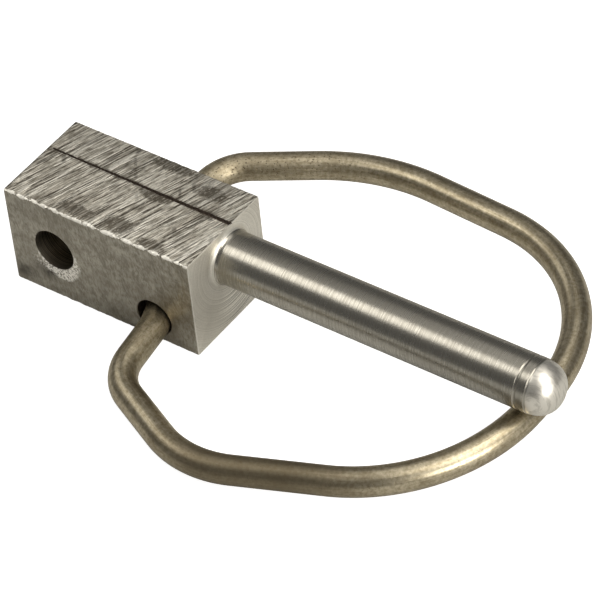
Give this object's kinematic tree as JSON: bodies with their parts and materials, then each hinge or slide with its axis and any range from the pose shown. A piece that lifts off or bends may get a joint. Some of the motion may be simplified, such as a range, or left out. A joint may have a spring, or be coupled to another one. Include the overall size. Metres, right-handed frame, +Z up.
{
  "type": "hitch pin lock",
  "caption": "Round hitch pin pressed into a square bar head with a lock hole; a bent spring-wire ring swings from the head and closes under the pin's nose.",
  "frame": {"origin": "middle of the head's underside, the flat face that the part stands on", "axes": "+X along the pin from the head to its nose, +Z up out of the head's top, +Y across the head towards the far leg of the ring"},
  "size_m": [0.1022, 0.0748, 0.02],
  "materials": {
    "bar_steel": "stainless square bar, coarse sanded top, drawn sides, faced shoulder",
    "turned_steel": "stainless round bar with fine turning marks, polished nose",
    "spring_wire": "drawn spring wire, straw brown, finely pitted"
  },
  "bodies": {
    "head": {"head_block": "bar_steel", "hitch_pin": "turned_steel"},
    "ring": {"snap_ring": "spring_wire"}
  },
  "joints": [
    {"name": "ring_swing", "type": "hinge", "parent": "head", "child": "ring", "pos_m": [0.0104, -0.0085, 0.00465], "axis": [-0.3423, 0.9384, 0.0469], "range_deg": [0, 345]}
  ]
}
